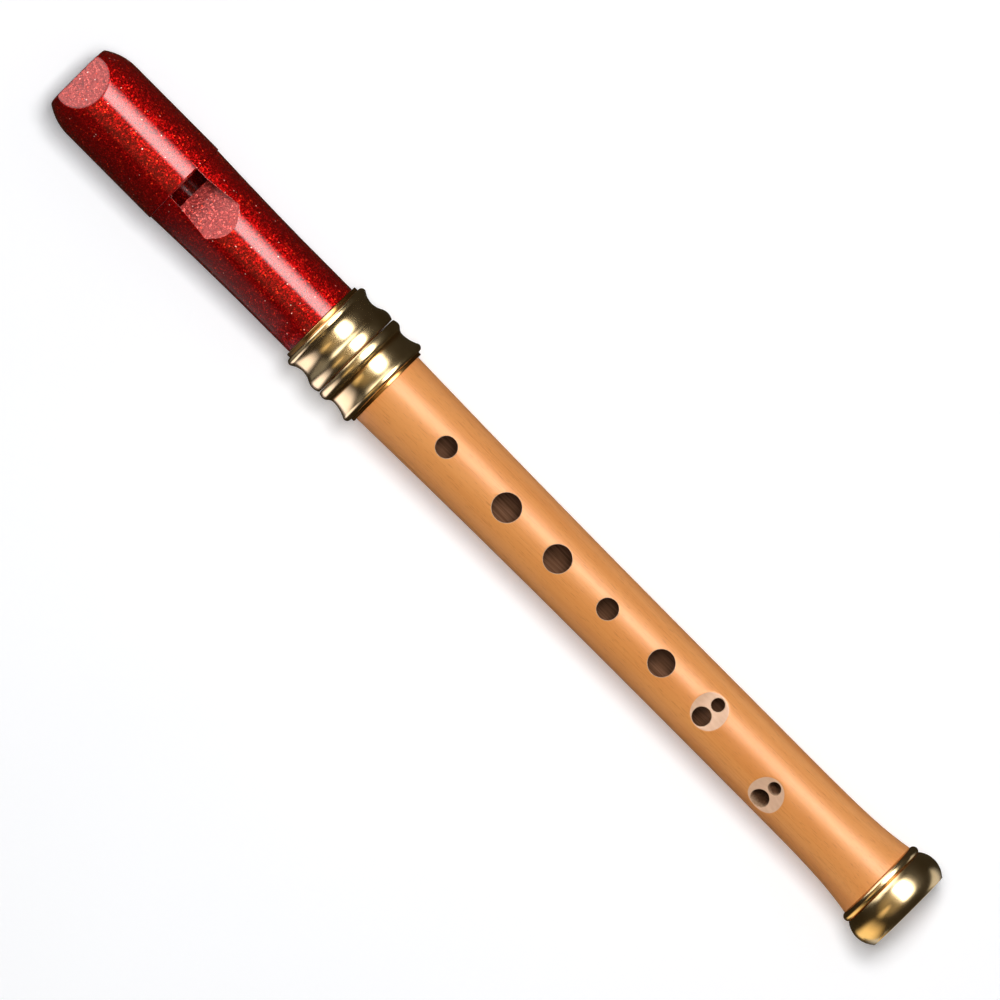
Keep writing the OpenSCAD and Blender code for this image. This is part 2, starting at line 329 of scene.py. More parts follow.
def block():
    end, chamfer, r = span("block")[1], 0.6, BORE_R - 0.03
    phi = turns(60, 1.0, 2.0)[:-1]
    up = np.cos(phi)
    rows = []
    for x in stations((0, 0.3, 0.06), (0.3, end - 0.9, 0.5), (end - 0.9, end, 0.1)):
        top = WINDWAY_FLOOR - max(0, x - (end - chamfer))
        flat = np.where(up > 0.05, top / np.maximum(up, 1e-3), 99.0)
        below = np.where(up < -0.05, undercut_h(x) / np.maximum(-up, 1e-3), 99.0)
        rho = soft_min(soft_min(r, flat, 0.12), below, 0.12) - end_round(x, end, 0.15)
        rows.append(place(x, rho, phi))
    return tidy(capped_skin("windway_block", np.stack(rows)))


def head_r(x):
    """Outer radius of the head tube, which narrows from the seam to the waist."""
    share = np.clip((HEAD_WAIST_X - x) / (HEAD_WAIST_X - CAP_L), 0, 1)
    return HEAD_WAIST_R + (HEAD_R - HEAD_WAIST_R) * share ** 1.6


RAMP_SLOPE = (head_r(LABIUM_X + RAMP_L) - LABIUM_H) / RAMP_L


def window_cutter():
    """The space of the window and over the labium's ramp, its rims flared so that they come out rounded."""
    rim, top, widen_l, wide_half = 0.16, HEAD_R + 2, 11.4, 6.6
    flare = np.linspace(0, 1, 5)
    rows = []
    ramp = stations((LABIUM_X, LABIUM_X + RAMP_L + 2, 0.25))
    course = [(x, None) for x in stations((CAP_L - 1, LABIUM_X, 0.25))] + [(x, LABIUM_X) for x in ramp]
    for x, start in course:
        half, floor = WINDWAY_HALF, WINDWAY_FLOOR - 0.5
        if start:
            half += (wide_half - WINDWAY_HALF) * (x - start) / widen_l
            floor = LABIUM_H + RAMP_SLOPE * (x - start)
        skin = math.sqrt(head_r(x) ** 2 - half ** 2)
        r = min(rim, max(0.0, (skin - floor) * 0.5))
        outside = math.sqrt(head_r(x) ** 2 - (half + r) ** 2)
        foot = max(floor, skin - r) if r else floor
        shoulder = max(outside + 0.01, foot)
        side = [(half, floor + (foot - floor) * s) for s in np.linspace(0, 1, 5)]
        for t in flare[1:]:
            y = (1 - t) ** 2 * half + 2 * t * (1 - t) * half + t * t * (half + r)
            z = (1 - t) ** 2 * foot + 2 * t * (1 - t) * max(skin, foot) + t * t * shoulder
            side.append((y, z))
        side.append((half + r, top + max(0, shoulder - HEAD_R)))
        bottom = [(y, floor) for y in np.linspace(-half, half, 13)[1:-1]]
        section = [(-y, z) for y, z in side[::-1]] + bottom + side
        rows.append([(TIP_X + x * MM, y * MM, AXIS_Z + z * MM) for y, z in section[::-1]])
    return capped_skin("window_cutter", np.array(rows))


def box_skin(name, x0, x1, half, z0, z1):
    """A box across the tube, as a closed skin."""
    section = [(half, z0), (half, z1), (-half, z1), (-half, z0)]
    rows = [[(TIP_X + x * MM, y * MM, AXIS_Z + z * MM) for y, z in section] for x in (x0, x1)]
    return capped_skin(name, np.array(rows))


def head_tube(material):
    phi = turns(38, 0.9, 2.0)[:-1]
    seat_x = HEAD_RING_X - 0.1
    seam = 0.18
    socket_x = TENON_X - 0.4
    under_slope = math.tan(math.radians(7.3))
    labium_end = LABIUM_X + (BORE_R - LABIUM_H + LABIUM_EDGE) / under_slope
    rows = [(x, SPIGOT_R) for x in np.linspace(HEAD_X, CAP_L + 0.02, 6)]
    outside = stations((CAP_L + 0.02, CAP_L + 0.5, 0.06), (CAP_L + 0.5, 63, 0.3), (63, seat_x - 0.3, 1.5),
                       (seat_x - 0.3, seat_x, 0.06))
    rows += [(x, head_r(x) - end_round(x, outside[0], seam) - end_round(x, seat_x, seam)) for x in outside]
    rows += [(seat_x, RING_SEAT_R), (HEAD_END - 0.3, RING_SEAT_R), (HEAD_END, RING_SEAT_R - 0.3)]
    rows += [(HEAD_END, SOCKET_R + 0.4), (HEAD_END - 0.4, SOCKET_R)]
    rows += [(x, SOCKET_R) for x in np.linspace(HEAD_END - 3, socket_x, 8)]
    rows += [(x, BORE_R) for x in np.linspace(socket_x, labium_end + 1, 12)]
    up = np.maximum(np.cos(phi), 1e-3)
    for x in np.linspace(labium_end, LABIUM_X - 1, 60):
        flat = LABIUM_H - LABIUM_EDGE + under_slope * (x - LABIUM_X)
        rows.append((x, np.minimum(BORE_R, flat / up)))
    rows += [(x, BORE_R) for x in np.linspace(LABIUM_X - 1.2, HEAD_X, 10)]
    tube = tidy(loop_skin("head_barrel", rows, phi))
    tube.data.materials.append(material)
    cut(tube, box_skin("spigot_slot", HEAD_X - 1, CAP_L + 0.01, WINDWAY_HALF + 0.4, 0, HEAD_R + 2), material)
    cut(tube, window_cutter(), material)
    return tidy(tube)


# ---- Rings ----

LIP_R = 1.2
LIP_H = 13.5
PEAK_R = 14.7
COVE_H = PEAK_R - 1.35


def hollow(outline, reach=1.3, full=0.3):
    """How deep each outline point lies in a groove, from 0 to 1, judged by the outline within its reach."""
    x, r = np.array(outline).T
    share = []
    for i in range(len(x)):
        near = (np.abs(x - x[i]) < reach) & (r > r[i] - 1.5)
        share.append((r[near].mean() - r[i]) / full)
    return np.clip(share, 0, 1)


def turned(name, outline):
    """A ring from its outline, one row per point, with the depth of its grooves stored as groove, which the
    brass uses for painted shade.
    """
    phi = turns(coarse=1.0)
    obj = loop_skin(name, outline, phi)
    groove = obj.data.attributes.new("groove", "FLOAT", "POINT")
    groove.data.foreach_set("value", np.repeat(hollow(outline), len(phi)).astype(np.float32))
    return tidy(obj, 45)


def head_ring():
    x0, x1 = span("head_ring")
    collar_r, cove_r, bead_r, seat = 13.2, 5.8, 4.1, RING_SEAT_R + 0.05
    lip = (x0 + 2.4, LIP_H)
    rise = COVE_H + cove_r - LIP_H
    cove = (lip[0] + apart(cove_r + LIP_R, rise), LIP_H + rise)
    rise = cove[1] - (PEAK_R - bead_r)
    bead = (cove[0] + apart(cove_r + bead_r, rise), PEAK_R - bead_r)
    last = math.degrees(math.acos((x1 - 0.1 - bead[0]) / bead_r))
    outline = [(x0, seat + 0.2), (x0, collar_r - 0.25)]
    outline += arc((x0 + 0.25, collar_r - 0.25), 0.25, 180, 90, 4)
    outline += [(lip[0] - LIP_R - 0.12, collar_r), (lip[0] - LIP_R - 0.02, collar_r + 0.06)]
    outline += arc(lip, LIP_R, 170, toward(lip, cove), 16)
    outline += arc(cove, cove_r, toward(cove, lip) + 360, toward(cove, bead) + 360, 30)[1:]
    outline += arc(bead, bead_r, toward(bead, cove), last, 26)[1:]
    edge = outline[-1][1]
    outline += [(x1, edge - 0.12), (x1, seat + 0.2), (x1 - 0.2, seat), (x0 + 0.2, seat)]
    return turned("head_ferrule", outline)


def body_ring():
    x0, x1 = span("body_ring")
    flank_r, bead_r, steep_r, slow_r, seat = 3.0, 1.9, 2.2, 10.5, RING_SEAT_R + 0.02
    lip = (x1 - 2.2, LIP_H)
    slow = (lip[0] - apart(slow_r + LIP_R, COVE_H + slow_r - LIP_H), COVE_H + slow_r)
    steep = (slow[0], COVE_H + steep_r)
    rise = steep[1] - (PEAK_R - bead_r)
    bead = (steep[0] - apart(steep_r + bead_r, rise), PEAK_R - bead_r)
    flank = (bead[0], PEAK_R - flank_r)
    first = 180 - math.degrees(math.acos((bead[0] - x0 - 0.1) / flank_r))
    collar_r = 13.1
    outline = [(x0, seat), (x0, 13.7)]
    outline += arc(flank, flank_r, first, 90, 12)
    outline += arc(bead, bead_r, 90, toward(bead, steep), 14)[1:]
    outline += arc(steep, steep_r, toward(steep, bead), -90, 14)[1:]
    outline += arc(slow, slow_r, -90, toward(slow, lip), 24)[1:]
    outline += arc(lip, LIP_R, toward(lip, slow), 8, 18)[1:]
    outline += [(lip[0] + LIP_R + 0.02, collar_r + 0.05), (lip[0] + LIP_R + 0.12, collar_r)]
    outline += arc((x1 - 0.22, collar_r - 0.22), 0.22, 90, 0, 4)
    outline += [(x1, seat)]
    return turned("body_ferrule", outline)


def foot_ring():
    seat = FOOT_SEAT_R + 0.02
    bead, bead_r = (FOOT_X + 1.5, 12.65), 1.4
    dome_r, dome_in = 7.2, 4.45
    dome = (FOOT_X + 7.2, radius("foot_ring") - dome_r)
    dome_out = TOTAL_L - 0.4 - dome[0]
    first = 180 - math.degrees(math.acos(dome_in / dome_r))
    last = math.degrees(math.acos(dome_out / dome_r))
    outline = [(FOOT_X, seat)]
    outline += arc(bead, bead_r, 175, 30, 26)
    outline += arc(dome, dome_r, first, last, 44)
    edge = outline[-1][1]
    outline += arc((TOTAL_L - 0.4, edge - 0.42), 0.4, 60, 0, 5)
    outline += [(TOTAL_L, seat + 0.35)]
    outline += arc((TOTAL_L - 0.25, seat + 0.25), 0.25, 0, -90, 4)
    return turned("foot_ferrule", outline)


# ---- Body ----

def body_r(x):
    """Outer radius of the wood: a long waist, then a flare into the foot ring."""
    top = 1.2 * np.clip((WAIST_X - x) / (WAIST_X - BODY_RING_END), 0, None) ** 2.5
    flare = 1.85 * np.clip((x - FLARE_X) / (FOOT_X - FLARE_X), 0, None) ** 5.2
    return WAIST_R + top + flare


def dish_h(x, centre):
    """Height of a dish's floor above the axis, along the direction that it faces."""
    along = np.clip(np.abs(x - centre), 0, DISH_R - 0.01)
    return body_r(centre) - DISH_DEPTH + DISH_R - np.sqrt(DISH_R ** 2 - along ** 2)


def wood_surface(x, phi):
    """Outer radius of the wood with the two milled dishes."""
    rho = np.broadcast_to(body_r(x), phi.shape)
    for centre, deg in DOUBLES:
        if abs(x - centre) < 7:
            facing = np.cos(phi + deg)
            floor = np.where(facing > 0.3, dish_h(x, centre) / np.maximum(facing, 0.3), 99.0)
            rho = soft_min(rho, floor, 0.16)
    return rho


def hole_cutter(name, x, d, deg=0.0, side=0.0, dish=False):
    """A cutter for a tone hole, its rim flared along the surface around it so that it comes out rounded.
    deg is the hole's turn towards -Y."""
    r, rim = d / 2, 0.22
    turn = np.linspace(0, 2 * math.pi, 72, endpoint=False)

    def height(reach):
        """Height of the wood around the hole at a distance from the hole's axis."""
        along, y = x + reach * np.cos(turn), side + reach * np.sin(turn)
        skin = np.sqrt(body_r(along) ** 2 - y ** 2)
        return np.minimum(skin, dish_h(along, dish)) if dish else skin

    foot, corner, shoulder = height(r) - rim, height(r), height(r + rim) + 0.012
    sections = [(r, np.full_like(turn, h)) for h in (0.0, 2.0)]
    sections += [(r, 2.0 + (foot - 2.0) * s) for s in np.linspace(0.1, 1, 26)]
    for t in np.linspace(0, 1, 7)[1:]:
        reach = r + rim * t * t
        sections.append((reach, (1 - t) ** 2 * foot + 2 * t * (1 - t) * corner + t * t * shoulder))
    sections.append((r + rim, shoulder + 3))
    points = []
    for reach, z in sections:
        y = side + reach * np.sin(turn)
        turned_y = y * math.cos(deg) - z * math.sin(deg)
        turned_z = y * math.sin(deg) + z * math.cos(deg)
        along = TIP_X + (x + reach * np.cos(turn)) * MM
        points.append(np.stack([along, turned_y * MM, AXIS_Z + turned_z * MM], axis=-1))
    return capped_skin(name, np.stack(points))


def body_tube(skin_material, wall_material):
    phi = turns(48, 1.3, 2.6)[:-1]
    tenon_r, cork_seat_r, collar = 8.45, 8.0, 0.3
    shoulder = BODY_RING_X
    bore_end = WOOD_END - FOOT_BORE_L
    choke_x = bore_end - CHOKE_L
    top_bore_r, choke_r = 6.3, 4.8
    rows = [(TENON_X, tenon_r - collar)] + arc((TENON_X + collar, tenon_r - collar), collar, 180, 90, 4)[1:]
    rows += [(CORK_X - 0.05, tenon_r), (CORK_X - 0.05, cork_seat_r)]
    rows += [(CORK_END + 0.05, cork_seat_r), (CORK_END + 0.05, tenon_r)]
    rows += [(shoulder, tenon_r), (shoulder, RING_SEAT_R), (BODY_RING_END, RING_SEAT_R)]
    near = [(x - d / 2 - 1, x + d / 2 + 1, 0.4) for x, d in HOLES + [THUMB]]
    near += [(x - 6.2, x + 6.2, 0.25) for x, _ in DOUBLES]
    courses, at = [], BODY_RING_END
    for start, end, step in sorted(near):
        courses += [(at, start, 1.5), (start, end, step)]
        at = end
    courses += [(at, FOOT_X, 1.2)]
    rows += [(x, wood_surface(x, phi)) for x in stations(*courses)]
    rows += [(FOOT_X, FOOT_SEAT_R), (WOOD_END, FOOT_SEAT_R), (WOOD_END, FOOT_BORE_R + 0.5)]
    rows += arc((WOOD_END, FOOT_BORE_R), 0.5, 100, 180, 4)[1:]
    rows += [(x, FOOT_BORE_R) for x in np.linspace(WOOD_END - 3, bore_end, 5)]
    taper = (top_bore_r - choke_r) / (choke_x - TENON_X)
    rows += [(x, choke_r + taper * (choke_x - x)) for x in np.linspace(choke_x, TENON_X + 0.4, 120)]
    rows += [(TENON_X, top_bore_r + 0.4)]
    tube = tidy(loop_skin("wood_body", rows, phi))
    tube.data.materials.append(skin_material)
    cutters = [hole_cutter(f"hole_{i}", x, d) for i, (x, d) in enumerate(HOLES)]
    cutters.append(hole_cutter("thumb", *THUMB, deg=math.pi))
    for x, deg in DOUBLES:
        for name, (along, d, across) in (("big", BIG_HOLE), ("small", SMALL_HOLE)):
            cutters.append(hole_cutter(name, x + along, d, deg, across, x))
    cut(tube, joined("cutters", cutters), wall_material)
    return tidy(tube, 42)


def store_depth(obj):
    """Stores how far each point lies under the wood's turned surface, in millimetres."""
    co = np.zeros(len(obj.data.vertices) * 3)
    obj.data.vertices.foreach_get("co", co)
    co = co.reshape(-1, 3)
    x = (co[:, 0] - TIP_X) / MM
    rho = np.hypot(co[:, 1], co[:, 2] - AXIS_Z) / MM
    depth = obj.data.attributes.new("depth", "FLOAT", "POINT")
    depth.data.foreach_set("value", (body_r(x) - rho).astype(np.float32))


def tenon_cork():
    """The cork strip, wrapped once round its groove, with the scarfed join where its ends meet."""
    phi = turns(coarse=1.5)
    r0, r1, edge = 8.02, CORK_R, 0.3
    join = np.abs(np.angle(np.exp(1j * (phi - math.radians(128)))))
    rows = [(CORK_X, r0)]
    for x in stations((CORK_X, CORK_X + edge, 0.06), (CORK_X + edge, CORK_END - edge, 0.3),
                      (CORK_END - edge, CORK_END, 0.06)):
        wave = 0.012 * np.sin(3 * phi + x) + 0.01 * np.sin(7 * phi - 1.7 * x)
        seam = 0.1 * np.exp(-(join * r1 / 0.22) ** 2)
        drop = end_round(x, CORK_X, edge) + end_round(x, CORK_END, edge)
        rows.append((x, r1 - 0.03 - drop * 0.6 - seam + np.minimum(wave, 0.02)))
    rows += [(CORK_END, r0)]
    return tidy(loop_skin("cork_lapping", rows, phi))


# ---- Materials ----

class Surface:
    """A material's node tree, with short calls that add nodes and join them."""

    def __init__(self, name):
        self.material = bpy.data.materials.new(name)
        self.material.use_nodes = True
        self.tree = self.material.node_tree
        self.shader = self.tree.nodes["Principled BSDF"]
        self.place = self.node("ShaderNodeTexCoord").outputs["Object"]

    def node(self, kind, **settings):
        made = self.tree.nodes.new(kind)
        for key, value in settings.items():
            setattr(made, key, value)
        return made

    def link(self, source, socket):
        if hasattr(source, "node"):
            self.tree.links.new(source, socket)
        else:
            socket.default_value = source

    def set(self, **values):
        """Sets or links the shader's sockets, named with underscores for spaces."""
        for key, value in values.items():
            self.link(value, self.shader.inputs[key.replace("_", " ")])

    def math(self, operation, a, b=0.0, c=0.0, clamp=False):
        made = self.node("ShaderNodeMath", operation=operation, use_clamp=clamp)
        for socket, value in zip(made.inputs, (a, b, c)):
            self.link(value, socket)
        return made.outputs[0]

    def stretched(self, scale):
        """The object's coordinates, in metres, times a scale for each axis."""
        made = self.node("ShaderNodeMapping")
        self.link(self.place, made.inputs["Vector"])
        made.inputs["Scale"].default_value = scale
        return made.outputs[0]

    def noise(self, scale, detail=2.0, rough=0.5, distortion=0.0):
        """Noise with a scale for each axis, in features per metre."""
        made = self.node("ShaderNodeTexNoise")
        self.link(self.stretched(scale), made.inputs["Vector"])
        made.inputs["Scale"].default_value = 1.0
        made.inputs["Detail"].default_value = detail
        made.inputs["Roughness"].default_value = rough
        made.inputs["Distortion"].default_value = distortion
        return made.outputs["Fac"]

    def cells(self, size):
        """Random cells of a size in metres: the distance from each cell's centre, and its random colour."""
        made = self.node("ShaderNodeTexVoronoi")
        self.link(self.place, made.inputs["Vector"])
        made.inputs["Scale"].default_value = 1 / size
        return made.outputs["Distance"], made.outputs["Color"]

    def parts(self, colour):
        """A colour's three channels."""
        made = self.node("ShaderNodeSeparateColor")
        self.link(colour, made.inputs[0])
        return made.outputs

    def ramp(self, factor, *stops):
        """Colours along a factor, from (place, colour) stops."""
        made = self.node("ShaderNodeValToRGB")
        self.link(factor, made.inputs[0])
        elements = made.color_ramp.elements
        while len(elements) < len(stops):
            elements.new(0.5)
        for element, (at, colour) in zip(elements, stops):
            element.position = at
            element.color = (*colour, 1)
        return made.outputs["Color"]

    def rise(self, factor, low, high, start=0.0, end=1.0):
        """A smooth rise from start to end as factor goes from low to high."""
        made = self.node("ShaderNodeMapRange", interpolation_type="SMOOTHSTEP")
        for socket, value in zip(made.inputs, (factor, low, high, start, end)):
            self.link(value, socket)
        return made.outputs[0]

    def mix(self, factor, a, b):
        made = self.node("ShaderNodeMix", data_type="RGBA")
        self.link(factor, made.inputs["Factor"])
        for socket, value in ((made.inputs[6], a), (made.inputs[7], b)):
            self.link(value if hasattr(value, "node") else (*value, 1), socket)
        return made.outputs[2]

    def bump(self, height, strength, distance):
        made = self.node("ShaderNodeBump")
        self.link(height, made.inputs["Height"])
        made.inputs["Strength"].default_value = strength
        made.inputs["Distance"].default_value = distance
        return made.outputs[0]


def glitter_plastic(name, deep, bright, painted_glint, coat_rough, coat=1.0):
    """Clear-coated red plastic full of small metal flakes, each leaning its own way. The flakes' bright red,
    orange and pale colours are partly their own colour and partly painted glints.
    """
    s = Surface(name)
    fine, fine_colour = s.cells(0.0004)
    fine_r = s.parts(fine_colour)[0]
    spark, spark_colour = s.cells(0.0007)
    spark_r, spark_g, _ = s.parts(spark_colour)
    # Bright red flakes at random, partly painted glints.
    lit = s.math("MULTIPLY", s.math("POWER", fine_r, 2.2), s.rise(fine, 0.35, 0.7, 1.0, 0.0))
    clouds = s.rise(s.noise((420, 420, 420), detail=3, rough=0.6), 0.3, 0.7, 0.45, 1.0)
    colour = s.mix(s.math("MULTIPLY", lit, clouds), deep, bright)
    # Orange flakes, partly painted glints.
    orange = s.math("MULTIPLY", s.rise(spark_r, 0.88, 0.95), s.rise(spark, 0.2, 0.44, 1.0, 0.0))
    colour = s.mix(orange, colour, (1.0, 0.055, 0.012))
    # Pale flakes in the glint colour: painted glints.
    pale = s.math("MULTIPLY", s.rise(spark_g, 0.978, 0.985), s.rise(spark, 0.16, 0.34, 1.0, 0.0))
    colour = s.mix(pale, colour, painted_glint)
    tilt = s.node("ShaderNodeVectorMath", operation="SUBTRACT")
    s.link(fine_colour, tilt.inputs[0])
    tilt.inputs[1].default_value = (0.5, 0.5, 0.5)
    lean = s.node("ShaderNodeVectorMath", operation="MULTIPLY_ADD")
    s.link(tilt.outputs[0], lean.inputs[0])
    lean.inputs[1].default_value = (0.6, 0.6, 0.6)
    s.link(s.node("ShaderNodeNewGeometry").outputs["Normal"], lean.inputs[2])
    straight = s.node("ShaderNodeVectorMath", operation="NORMALIZE")
    s.link(lean.outputs[0], straight.inputs[0])
    s.set(Base_Color=colour, Metallic=0.7, Roughness=0.46, Normal=straight.outputs[0],
          Specular_IOR_Level=0.0, Coat_Weight=coat, Coat_Roughness=coat_rough, Coat_IOR=1.5)
    return s.material


def grain(s, base, light, dark):
    """Pear's fine lengthwise figure: soft bands, thin streaks and short pores."""
    bands = s.noise((7, 170, 170), detail=3, rough=0.5, distortion=0.2)
    streaks = s.noise((30, 1900, 1900), detail=2)
    clouds = s.noise((24, 70, 70), detail=2)
    colour = s.ramp(bands, (0.25, dark), (0.5, base), (0.78, light))
    colour = s.mix(s.rise(streaks, 0.48, 0.75, 0.0, 0.6), colour, dark)
    colour = s.mix(s.rise(clouds, 0.42, 0.7, 0.0, 0.35), colour, light)
    pores = s.noise((300, 4200, 4200), detail=1)
    pore = (dark[0] * 0.6, dark[1] * 0.52, dark[2] * 0.45)
    colour = s.mix(s.rise(pores, 0.6, 0.7, 0.0, 0.36), colour, pore)
    return colour, streaks, pores


def pearwood():
    """Stained and oiled pear, pale where the dishes and the holes' rims cut through the stain."""
    s = Surface("pearwood_oiled")
    colour, streaks, pores = grain(s, (0.78, 0.303, 0.073), (0.84, 0.358, 0.104), (0.69, 0.235, 0.045))
    depth = s.node("ShaderNodeAttribute", attribute_name="depth").outputs["Fac"]
    fibres = s.noise((60, 900, 900), detail=2)
    pale = s.ramp(fibres, (0.3, (0.74, 0.45, 0.285)), (0.7, (0.82, 0.53, 0.35)))
    colour = s.mix(s.rise(depth, 0.04, 0.12), colour, pale)
    height = s.math("SUBTRACT", s.math("MULTIPLY", streaks, 0.5), pores)
    s.set(Base_Color=colour, Roughness=s.rise(streaks, 0.3, 0.7, 0.36, 0.46),
          Normal=s.bump(height, 0.1, 0.00006), Specular_IOR_Level=0.42, Coat_Weight=0.34, Coat_Roughness=0.28)
    return s.material


def bare_pearwood():
    """The wood inside a tone hole: pale at the rim, and darker further down, which is partly the oiled wood's
    colour and partly painted shade.
    """
    s = Surface("pearwood_bored")
    depth = s.node("ShaderNodeAttribute", attribute_name="depth").outputs["Fac"]
    streaks = s.noise((1400, 1400, 160), detail=3)
    pale = s.ramp(streaks, (0.35, (0.52, 0.31, 0.18)), (0.65, (0.74, 0.50, 0.33)))
    dark = s.ramp(streaks, (0.35, (0.10, 0.045, 0.022)), (0.65, (0.19, 0.09, 0.045)))
    # Partly painted shade: the wall darkens from 0.25 mm to 3.4 mm under the turned surface.
    s.set(Base_Color=s.mix(s.rise(depth, 0.25, 3.4), pale, dark), Roughness=0.55,
          Normal=s.bump(streaks, 0.25, 0.00008), Specular_IOR_Level=0.15)
    return s.material


def bore_wood():
    """The oiled bore, which is dark brown."""
    s = Surface("pearwood_bore")
    streaks = s.noise((60, 1800, 1800), detail=2)
    s.set(Base_Color=s.ramp(streaks, (0.35, (0.13, 0.058, 0.028)), (0.65, (0.23, 0.11, 0.06))),
          Roughness=0.6, Normal=s.bump(streaks, 0.2, 0.00006), Specular_IOR_Level=0.12)
    return s.material


def brass():
    """Turned and polished brass, with the lathe's faint rings, and a darker orange-brown deeper in the
    grooves that is painted shade and painted inter-reflection.
    """
    s = Surface("brass_polished")
    tarnish = s.noise((130, 130, 130), detail=2)
    colour = s.ramp(tarnish, (0.35, (0.82, 0.62, 0.33)), (0.7, (0.88, 0.69, 0.40)))
    groove = s.node("ShaderNodeAttribute", attribute_name="groove").outputs["Fac"]
    # Painted shade and inter-reflection: the grooves turn a darker orange-brown the deeper they lie.
    colour = s.mix(s.rise(groove, 0.15, 0.9, 0.0, 0.85), colour, (0.58, 0.27, 0.055))
    rings = s.noise((9000, 45, 45), detail=2)
    s.set(Base_Color=colour, Metallic=1.0, Roughness=s.rise(tarnish, 0.3, 0.75, 0.2, 0.245),
          Normal=s.bump(rings, 0.05, 0.00003))
    return s.material


def cork():
    """Sanded cork: grains of several browns with dark pits between them, shiny with grease."""
    s = Surface("cork_sanded")
    grains, grain_colour = s.cells(0.0011)
    tone = s.parts(grain_colour)[0]
    colour = s.ramp(tone, (0.0, (0.33, 0.17, 0.07)), (0.5, (0.47, 0.27, 0.12)), (1.0, (0.60, 0.38, 0.19)))
    pits = s.noise((1500, 1500, 1500), detail=3, rough=0.6)
    colour = s.mix(s.rise(pits, 0.6, 0.72, 0.0, 0.85), colour, (0.13, 0.065, 0.03))
    height = s.math("SUBTRACT", s.math("MULTIPLY", grains, -0.4), s.rise(pits, 0.58, 0.72))
    s.set(Base_Color=colour, Roughness=s.rise(pits, 0.3, 0.7, 0.42, 0.7), Normal=s.bump(height, 0.5, 0.00015))
    return s.material


def floor_paint():
    s = Surface("studio_floor")
    mottle = s.noise((6, 6, 6), detail=3)
    colour = s.ramp(mottle, (0.3, (0.885, 0.893, 0.906)), (0.7, (0.905, 0.913, 0.926)))
    s.set(Base_Color=colour, Roughness=0.9, Specular_IOR_Level=0.1,
          Emission_Color=(1, 1, 1, 1), Emission_Strength=0.19)
    return s.material


# ---- Pieces ----

def dress(obj, body, node, material=None):
    if material:
        obj.data.materials.append(material)
    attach(obj, body)
    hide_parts(node)


def paint_slope(obj, slot_index, slope, start, end):
    """Gives the faces of a flat that rises towards +X with a slope the material of that slot."""
    facing = Vector((-slope, 0, 1)).normalized()
    for face in obj.data.polygons:
        if face.normal.dot(facing) > 0.996 and start < (face.center.x - TIP_X) / MM < end:
            face.material_index = slot_index


def paint_bore(obj, slot_index):
    """Gives the faces that look at the axis inside the bore the material of that slot."""
    for face in obj.data.polygons:
        y, z = face.center.y, face.center.z - AXIS_Z
        rho = math.hypot(y, z) / MM
        if rho < BORE_R + 0.2 and (face.normal.y * y + face.normal.z * z) < 0 and face.material_index == 0:
            face.material_index = slot_index


# The third colour of each plastic is its pale flakes' painted glint.
red = glitter_plastic("plastic_glitter", (0.21, 0.0011, 0.0013), (0.76, 0.011, 0.008),
                      (1.0, 0.55, 0.45), 0.1)
# The milled facet, ramp and the lip at the cap's end: a rougher coat, and a paler, pinker base that is partly
# painted light, the reflected veil on the flats and the bright lip.
milled_and_veil_red = glitter_plastic("plastic_milled_and_painted_veil", (0.34, 0.028, 0.026), (0.84, 0.165, 0.135),
                             (1.0, 0.85, 0.8), 0.38)
# A darker red for the block and the head's bore: painted shade inside the window and the tube.
painted_shade_red = glitter_plastic("plastic_painted_shade", (0.12, 0.001, 0.0012), (0.5, 0.008, 0.005),
                           (0.8, 0.3, 0.25), 0.2, coat=0.3)
metal = brass()

cap = beak_cap()
dress(cap, "head", "beak_cap", red)
# The facet and the lip at the cap's end take the milled red: partly painted reflection and painted light.
cap.data.materials.append(milled_and_veil_red)
paint_slope(cap, 1, FACET_SLOPE, 0, FACET_X + 1.5)
paint_slope(cap, 1, -1, CAP_L - 0.7, CAP_L)
dress(block(), "head", "block", painted_shade_red)
tube = head_tube(red)
dress(tube, "head", "head_tube")
# The ramp takes the milled red: partly painted reflection.
tube.data.materials.append(milled_and_veil_red)
paint_slope(tube, len(tube.data.materials) - 1, RAMP_SLOPE, LABIUM_X, LABIUM_X + RAMP_L + 1)
# The head's bore takes the darker red: painted shade.
tube.data.materials.append(painted_shade_red)
paint_bore(tube, len(tube.data.materials) - 1)
dress(head_ring(), "head_slider", "head_ring", metal)
dress(body_ring(), "body", "body_ring", metal)
dress(foot_ring(), "body", "foot_ring", metal)
dress(tenon_cork(), "body", "tenon_cork", cork())

body = body_tube(pearwood(), bare_pearwood())
dress(body, "body", "body_tube", bore_wood())
store_depth(body)
paint_bore(body, len(body.data.materials) - 1)


# ---- Studio ----

def plane(name, corners):
    obj = new_object(name, corners, [[0, 1, 2, 3]])
    return obj


def lamp(name, place_at, aim, size, power):
    """A rectangular soft light on the matte surfaces; the glowing cards below stand for it in reflections."""
    data = bpy.data.lights.new(name, "AREA")
    data.shape = "RECTANGLE"
    data.size, data.size_y = size
    data.energy = power
    obj = bpy.data.objects.new(name, data)
    obj.location = place_at
    obj.rotation_mode = "QUATERNION"
    obj.rotation_quaternion = (Vector(aim) - Vector(place_at)).to_track_quat("-Z", "Y")
    obj.visible_camera = obj.visible_glossy = False
    bpy.context.scene.collection.objects.link(obj)


def from_overhead(deg, distance, x=0.0):
    """A place at a distance from the recorder, leaning from straight up towards +Y."""
    turn = math.radians(deg)
    return (x, distance * math.sin(turn), AXIS_Z + distance * math.cos(turn))


def glow_paint():
    """Light as bright as the card's stored glow."""
    paint = bpy.data.materials.new("card_glow")
    paint.use_nodes = True
    tree = paint.node_tree
    tree.nodes.clear()
    stored = tree.nodes.new("ShaderNodeAttribute")
    stored.attribute_name = "glow"
    emission = tree.nodes.new("ShaderNodeEmission")
    tree.links.new(stored.outputs["Color"], emission.inputs["Color"])
    tree.links.new(emission.outputs[0], tree.nodes.new("ShaderNodeOutputMaterial").inputs["Surface"])
    return paint


